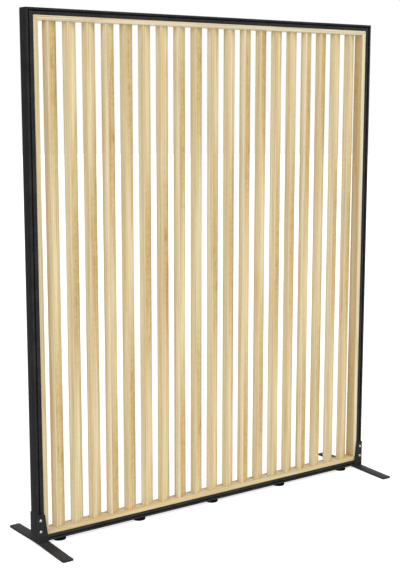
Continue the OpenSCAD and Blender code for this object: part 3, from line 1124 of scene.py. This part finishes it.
@dataclass
class SlatRow:
    """Nineteen upright slats, each turned about its own axis.

    Attributes:
        count: How many slats there are.
        width: Width of a slat's wide face.
        thickness: Width of its narrow face.
        turn: Its turn, in degrees.
        edge: Radius of its long edges.
        planks: The four planks that the slats were cut from in turn, each with the height of a darker,
            browner place.
    """

    count: int = 19
    width: float = 46 * MM
    thickness: float = 23 * MM
    turn: float = 26.0
    edge: float = 2 * MM
    planks: tuple[tuple[Figure, float], ...] = (
        (Figure.EVEN, 0.38),
        (Figure.PALE_BACK, 0.93),
        (Figure.PALE_HEART, 0.96),
        (Figure.PALE_EDGE, 1.41),
    )

    def finishes(self) -> list[Material]:
        """Makes the timber finishes of the planks.

        Returns:
            The material of each plank.
        """
        run = middle(f"slat_{self.count:02d}").x - middle("slat_01").x
        shared = {
            "pitch": run / (self.count - 1),
            "turn": math.radians(self.turn),
            # The tone runs over the narrow face and then the wide one, and both add up to 1
            "across": (0.52 / self.width, 0.48 / self.thickness),
        }
        return [
            Timber(f"ash_slat_{figure.name.lower()}", figure, brown_and_shade=brown_and_shade, **shared).build()
            for figure, brown_and_shade in self.planks
        ]

    def build(self) -> None:
        """Models one slat, copies it to each place and dresses the copies."""
        low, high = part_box("slat_01")
        x, y = self.width / 2, self.thickness / 2
        slat = Workpiece.block((-x, -y, low.z), (x, y, high.z))
        slat.pick("EDGE", lambda a, b: not near(a.z, b.z, LONG_EDGE))
        slat.ease(self.edge, 5)
        planks = self.finishes()
        for i in range(self.count):
            node = f"slat_{i + 1:02d}"
            twin = slat.copy((middle(node).x, 0, 0), (0, 0, math.radians(self.turn)))
            twin.dress(node, planks[i % len(planks)], "slat_timber")
        slat.scrap()


@dataclass
class Feet:
    """Two arched flat bars, each with a tapered plate in front of its post and one behind.

    Attributes:
        bar_thickness: Thickness of a bar.
        rest: Length of a bar's level ends.
        seat: Half the length of a bar's level middle.
        bar_corner: Radius of a bar's corners, seen from above.
        plate_top: Width of a plate's top, before its corner is rounded.
        plate_corner: Radius of that corner.
        arris: Radius of the steel's edges.
    """

    bar_thickness: float = 6 * MM
    rest: float = 30 * MM
    seat: float = 29 * MM
    bar_corner: float = 5 * MM
    plate_top: float = 27.7 * MM
    plate_corner: float = 6 * MM
    arris: float = 0.6 * MM

    def build(self, coat: Material) -> None:
        """Models the bars and plates and dresses them.

        Args:
            coat: The black coat.
        """
        for side, inward in (("left", 1), ("right", -1)):
            bar = f"foot_bar_{side}"
            self._bar(bar).dress(bar, coat, "black_steel")
            for face in ("front", "back"):
                plate = f"foot_plate_{side}_{face}"
                self._plate(plate, inward).dress(plate, coat, "black_steel")

    def _bar(self, node: str) -> Workpiece:
        """Bends a flat bar twice on each side of its middle, and rounds its corners.

        Args:
            node: The CAD node.

        Returns:
            The bar.
        """
        low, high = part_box(node)
        half = high.y
        bar = Workpiece.block(low, (high.x, half, self.bar_thickness))
        for y in (-half + self.rest, -self.seat, self.seat, half - self.rest):
            bar.cut((0, y, 0), (0, 1, 0), keep_all=True)
        bar.pick("FACE", lambda place, normal: abs(normal.z) > 0.9 and abs(place.y) < self.seat)
        bpy.ops.transform.translate(value=(0, 0, high.z - self.bar_thickness))

        def is_corner(a: Vector, b: Vector) -> bool:
            """Says whether an edge is an upright one at an end of the bar."""
            at_end = near(abs(a.y), half) and near(abs(b.y), half)
            return at_end and not near(a.z, b.z, MM)

        bar.pick("EDGE", is_corner)
        bar.ease(self.bar_corner, 6)
        bar.soften(self.arris, 3, 25.0)
        return bar

    def _plate(self, node: str, inward: int) -> Workpiece:
        """Cuts a plate to its taper and rounds its inner top corner.

        Args:
            node: The CAD node.
            inward: Direction from its outer edge to its inner one.

        Returns:
            The plate.
        """
        low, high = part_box(node)
        plate = Workpiece.block(low, high)
        outer, base = (low.x, high.x) if inward > 0 else (high.x, low.x)
        top = outer + inward * self.plate_top
        lean = math.atan2(abs(base - top), high.z - low.z)
        plate.cut((base, 0, low.z), (inward * math.cos(lean), 0, math.sin(lean)))

        def is_corner(a: Vector, b: Vector) -> bool:
            """Says whether an edge is the one through the plate at its inner top corner."""
            at_top = near(a.z, high.z) and near(b.z, high.z) and near(a.x, top, MM)
            return at_top and not near(a.y, b.y, MM)

        plate.pick("EDGE", is_corner)
        plate.ease(self.plate_corner / math.tan((math.pi / 2 + lean) / 2), 8)
        plate.soften(self.arris, 3)
        return plate


@dataclass
class FootBolts:
    """Domed bolts with a hexagon socket, two through each plate.

    Attributes:
        head: Radius of a head.
        head_height: Height of a head.
        rim: Height of the straight rim below the dome.
        brim: Chamfer under the rim.
        facets: Steps of the dome, from its rim to its top.
        socket: Size of the socket across its flats.
        socket_depth: Depth of the socket.
        shank: Radius of the shank.
        point: Chamfer at the shank's end.
        length: Length of the shank.
        heights: Heights of the bolts over the floor.
        from_edge: Distance of the bolts from the frame's outer edge.
    """

    head: float = 5.25 * MM
    head_height: float = 3.3 * MM
    rim: float = 0.4 * MM
    brim: float = 0.1 * MM
    facets: int = 8
    socket: float = 4 * MM
    socket_depth: float = 2 * MM
    shank: float = 3 * MM
    point: float = 0.5 * MM
    length: float = 12 * MM
    heights: tuple[float, ...] = (51 * MM, 91 * MM)
    from_edge: float = 11 * MM

    def build(self, steel: Material) -> None:
        """Turns one bolt, sinks its socket, copies it to each place and dresses the set.

        Args:
            steel: The bolts' finish.
        """
        bolt = self._bolt()
        bolts = []
        for plate in ("left_front", "left_back", "right_front", "right_back"):
            low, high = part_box(f"foot_plate_{plate}")
            x = low.x + self.from_edge if "left" in plate else high.x - self.from_edge
            y, turn = (low.y, math.pi / 2) if "front" in plate else (high.y, -math.pi / 2)
            bolts += [bolt.copy((x, y, z), (turn, 0, 0)) for z in self.heights]
        bolt.scrap()
        bolts[0].join(bolts[1:])
        bolts[0].dress("foot_bolts", steel, "bolt_steel")

    def _bolt(self) -> Workpiece:
        """Makes a bolt that stands on its shank, with its seat at height 0.

        Returns:
            The bolt.
        """
        cap = self.head_height - self.rim
        dome = (self.head**2 + cap**2) / (2 * cap)
        centre = self.head_height - dome
        reach = math.asin(self.head / dome)
        arc = [reach * i / self.facets for i in range(self.facets, -1, -1)]
        section = [(0, -self.length), (self.shank - self.point, -self.length)]
        section += [(self.shank, self.point - self.length), (self.shank, 0)]
        section += [(self.head - self.brim, 0), (self.head, self.brim)]
        section += [(dome * math.sin(a), centre + dome * math.cos(a)) for a in arc]
        bolt = Workpiece.turned(section, 40)
        bolt.sink(Workpiece.hexagon(self.socket, self.head_height - self.socket_depth, self.head_height))
        return bolt


@dataclass
class LevellingGlides:
    """Five glides under the bottom rail: a plastic pad on a threaded stud, in an insert of the rail.

    Attributes:
        count: How many glides there are.
        pad: Section of a pad, in mm, round its outside and its socket.
        flange: Section of the stud's flange and neck in the pad, in mm.
        collar: Size of the hexagon collar across its flats.
        collar_z: Height of the collar's underside.
        collar_height: Height of the collar.
        tooth: Section of one turn of the thread, in mm, up to where the next turn starts.
        thread_z: Height at which the thread starts.
        stud_top: Height of the stud's top.
        insert: Section of an insert, in mm, from its bore out and back.
    """

    count: int = 5
    pad: Section = (
        (0, 0), (21.6, 0), (22.4, 0.15), (22.85, 0.6), (23, 1.2), (23, 5.2), (22.8, 5.9), (22.2, 6.5),
        (21.4, 6.85), (20.4, 7), (9.2, 7), (8.8, 6.7), (8.4, 6.6), (5.4, 6.6), (5.0, 6.7), (4.6, 7),
        (3.3, 7), (3.3, 4.25), (6.3, 4.25), (6.3, 2.05), (0, 2.05),
    )  # fmt: skip
    flange: Section = ((0, 2.2), (5.8, 2.2), (6, 2.4), (6, 3.8), (5.8, 4), (3, 4), (3, 7.3), (0, 7.3))
    collar: float = 13 * MM
    collar_z: float = 7.3 * MM
    collar_height: float = 1.8 * MM
    tooth: Section = ((3.35, 0), (4, 0.45), (4, 0.6), (3.35, 1.05), (3.35, 1.25))
    thread_z: float = 7.6 * MM
    stud_top: float = 27.1 * MM
    insert: Section = (
        (4.05, 16), (4.05, -0.3), (4.55, -0.8), (6.9, -0.8), (7.2, -0.5), (7.2, 0), (5.5, 0), (5.5, 1.7),
        (6.7, 1.8), (7.2, 2.4), (7.2, 3.6), (6.7, 4.2), (5.5, 4.4), (5.5, 15.7), (5.2, 16), (4.05, 16),
    )  # fmt: skip

    def build(self, plastic: Material, zinc: Material) -> None:
        """Makes one pad, one stud and one insert, copies them to each place and dresses them.

        Args:
            plastic: Finish of the pads.
            zinc: Finish of the studs and inserts.
        """
        pad = Workpiece.turned(in_metres(self.pad), 72)
        stud = self._stud()
        insert = Workpiece.turned(in_metres(self.insert), 40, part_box("bottom_rail")[0].z)
        inserts = []
        for i in range(1, self.count + 1):
            place = (middle(f"glide_pad_{i}").x, 0, 0)
            pad.copy(place).dress(f"glide_pad_{i}", plastic, "glide_plastic", f"pad_{i}")
            stud.copy(place).dress(f"glide_stud_{i}", zinc, "zinc_steel", f"stud_{i}")
            inserts.append(insert.copy(place))
        for pattern in (pad, stud, insert):
            pattern.scrap()
        inserts[0].join(inserts[1:])
        inserts[0].dress("glide_inserts", zinc, "zinc_steel")

    def _stud(self) -> Workpiece:
        """Makes a stud: flange and neck in the pad, hexagon collar, and a right-hand thread.

        Returns:
            The stud.
        """
        stud = Workpiece.turned(in_metres(self.flange), 32)
        collar = Workpiece.hexagon(self.collar, self.collar_z, self.collar_height)
        collar.soften(0.2 * MM)
        stud.join([collar, self._thread()])
        return stud

    def _thread(self) -> Workpiece:
        """Sweeps one tooth of the thread up round the stud and closes both ends.

        Returns:
            The thread, cut level at the stud's top.
        """
        thread = Workpiece.outline(in_metres(self.tooth), self.thread_z)
        bpy.ops.object.mode_set(mode="OBJECT")
        pitch = self.tooth[-1][1] * MM
        sweep = thread.thing.modifiers.new("thread", "SCREW")
        sweep.angle, sweep.screw_offset = 2 * math.pi, pitch
        sweep.steps = sweep.render_steps = 24
        sweep.iterations = int((self.stud_top - self.thread_z) / pitch) + 1
        sweep.use_merge_vertices = True
        bpy.ops.object.modifier_apply(modifier=sweep.name)
        bpy.ops.object.mode_set(mode="EDIT")
        thread.close_up()
        thread.cut((0, 0, self.stud_top), (0, 0, 1))
        bpy.ops.object.mode_set(mode="OBJECT")
        return thread


@dataclass
class HiddenHardware:
    """Corner keys, set screws, dowels and sliding nuts, which keep their CAD shape and get a finish."""

    def dress(self, nodes: dict[str, bpy.types.Object], finishes: dict[str, Material]) -> None:
        """Gives each hidden node its finish.

        Args:
            nodes: The CAD nodes by name.
            finishes: The finish of each node whose name starts with the key.
        """
        for name, thing in nodes.items():
            for start, finish in finishes.items():
                if name.startswith(start):
                    for slot in thing.material_slots:
                        slot.material = finish
                    log.info("%s keeps its CAD shape, in %s", name, finish.name)


@dataclass
class Studio:
    """A plain pale floor, soft light from all round, and the camera at the photograph's viewing angle.

    Attributes:
        eye: Place of the camera.
        yaw: Turn of its gaze from +Y towards +X, in degrees.
        pitch: How far it looks down, in degrees.
        roll: Its tilt, in degrees.
        focal_px: Focal length in pixels of the photograph.
        long_side_px: The photograph's longer side, in pixels.
        floor_radius: Radius of the floor.
        wall_rise: Where the white walls end and where the ceiling begins, in degrees over the horizon.
        ceiling: Brightness of the room's ceiling, where its walls are 1.
        lamp_strength: Strength of the lamp.
        lamp_width: Width of the lamp, in degrees.
        lamp_side: Its turn from the front towards the right, in degrees.
        lamp_rise: Its height over the horizon, in degrees.
    """

    eye: Point = (-2.43197, -3.3455, 1.49485)
    yaw: float = 35.386
    pitch: float = 9.155
    roll: float = 0.041
    focal_px: float = 1135.03
    long_side_px: int = 572
    floor_radius: float = 30.0
    wall_rise: tuple[float, float] = (7.0, 25.0)
    ceiling: float = 0.65
    lamp_strength: float = 2.3
    lamp_width: float = 45.0
    lamp_side: float = -10.0
    lamp_rise: float = 52.0

    def build(self) -> None:
        """Sets up the camera, the floor and the light."""
        self._camera()
        self._floor()
        self._light()
        bpy.context.scene.view_settings.view_transform = "Standard"
        log.info("studio: camera %s, floor and lights", tuple(round(c, 3) for c in self.eye))

    def _camera(self) -> None:
        """Places the camera, which looks down its own -Z before it is turned."""
        data = bpy.data.cameras.new("photo_camera")
        data.sensor_width = 36.0
        data.lens = self.focal_px * data.sensor_width / self.long_side_px
        data.clip_start, data.clip_end = 0.1, 100.0
        camera = bpy.data.objects.new("photo_camera", data)
        bpy.context.scene.collection.objects.link(camera)
        place = Matrix.Translation(self.eye)
        for axis, angle in (("Z", -self.yaw), ("X", 90.0 - self.pitch), ("Z", self.roll)):
            place = place @ Matrix.Rotation(math.radians(angle), 4, axis)
        camera.matrix_world = place
        bpy.context.scene.camera = camera

    def _floor(self) -> None:
        """Lays the floor."""
        clear_selection()
        radius, place = self.floor_radius, (0, 0, 0)
        bpy.ops.mesh.primitive_circle_add(vertices=96, radius=radius, fill_type="NGON", location=place)
        floor = bpy.context.object
        floor.name = "studio_floor"
        floor.data.materials.append(OpalAcrylic("white_opal_acrylic").build())

    def _light(self) -> None:
        """Lights a white room with a dimmer ceiling by a very wide, soft lamp from above the front."""
        world = bpy.data.worlds.new("white_room")
        bpy.context.scene.world = world
        world.use_nodes = True
        tree = world.node_tree
        tree.nodes.clear()
        way = add_node(tree, "TexCoord", out="Generated")
        height = add_node(tree, "SeparateXYZ", {"Vector": way}, out="Z")
        wall_top, ceiling_edge = (math.sin(math.radians(rise)) for rise in self.wall_rise)
        dimming = {"From Min": wall_top, "From Max": ceiling_edge, "To Min": 1.0, "To Max": self.ceiling}
        white = add_node(tree, "MapRange", {"Value": height, **dimming})
        sky = add_node(tree, "Background", {"Color": WHITE, "Strength": white})
        add_node(tree, "OutputWorld", {"Surface": sky})

        lamp = bpy.data.lights.new("wide_lamp", "SUN")
        lamp.energy, lamp.angle = self.lamp_strength, math.radians(self.lamp_width)
        key = bpy.data.objects.new("wide_lamp", lamp)
        key.rotation_euler = (math.radians(90.0 - self.lamp_rise), 0, math.radians(self.lamp_side))
        bpy.context.scene.collection.objects.link(key)


# The whole divider


def main() -> None:
    """Builds the divider over its frame, piece by piece, and keeps the CAD nodes that it models again,
    hidden.
    """
    logging.basicConfig(level=logging.INFO, format="%(name)s: %(message)s")
    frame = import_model()

    Studio().build()

    # The profile's front and back faces are painted lighter, as painted light
    profile_coat = PowderCoat("black_powder_coated_aluminium").build()
    # The steel's faces that look up or down are painted lighter, as a painted sheen, and are smoother
    steel_coat = PowderCoat(
        "black_powder_coated_steel",
        colour="#161616",
        roughness=0.75,
        level=0.07,
        mottle=0.14,
        painted_light_way=(0.0, 0.0, 1.0),
        painted_light_from=0.0,
        pale=0.1,
        shine=0.4,
    ).build()
    zinc = BareMetal("zinc_plated_steel", "#BFC2C4", "#8E9396", 0.32, (900.0, 900.0, 60.0)).build()
    bright = BareMetal("stainless_steel", "#B4B6B8", "#85888B", 0.34, (700.0, 90.0, 700.0)).build()
    drawn = BareMetal("drawn_aluminium", "#B9BCBF", "#8F9397", 0.38, (40.0, 900.0, 900.0)).build()
    plastic = MouldedPlastic("black_moulded_polyamide").build()
    dowel = Timber("beech_dowel", Figure.HEARTWOOD, ring_mm=1.2, roughness=0.62).build()

    MetalFrame().build(profile_coat)
    TimberLiner().build()
    SlatRow().build()
    Feet().build(steel_coat)
    FootBolts().build(bright)
    LevellingGlides().build(plastic, zinc)
    hidden = {
        "corner_key_screws": zinc,
        "corner_key_bottom": drawn,
        "corner_key_top": drawn,
        "liner_corner_dowels": dowel,
        "slat_dowels": dowel,
        "groove_nuts": zinc,
    }
    HiddenHardware().dress(frame["nodes"], hidden)
    clear_selection()


if __name__ == "__main__":
    main()
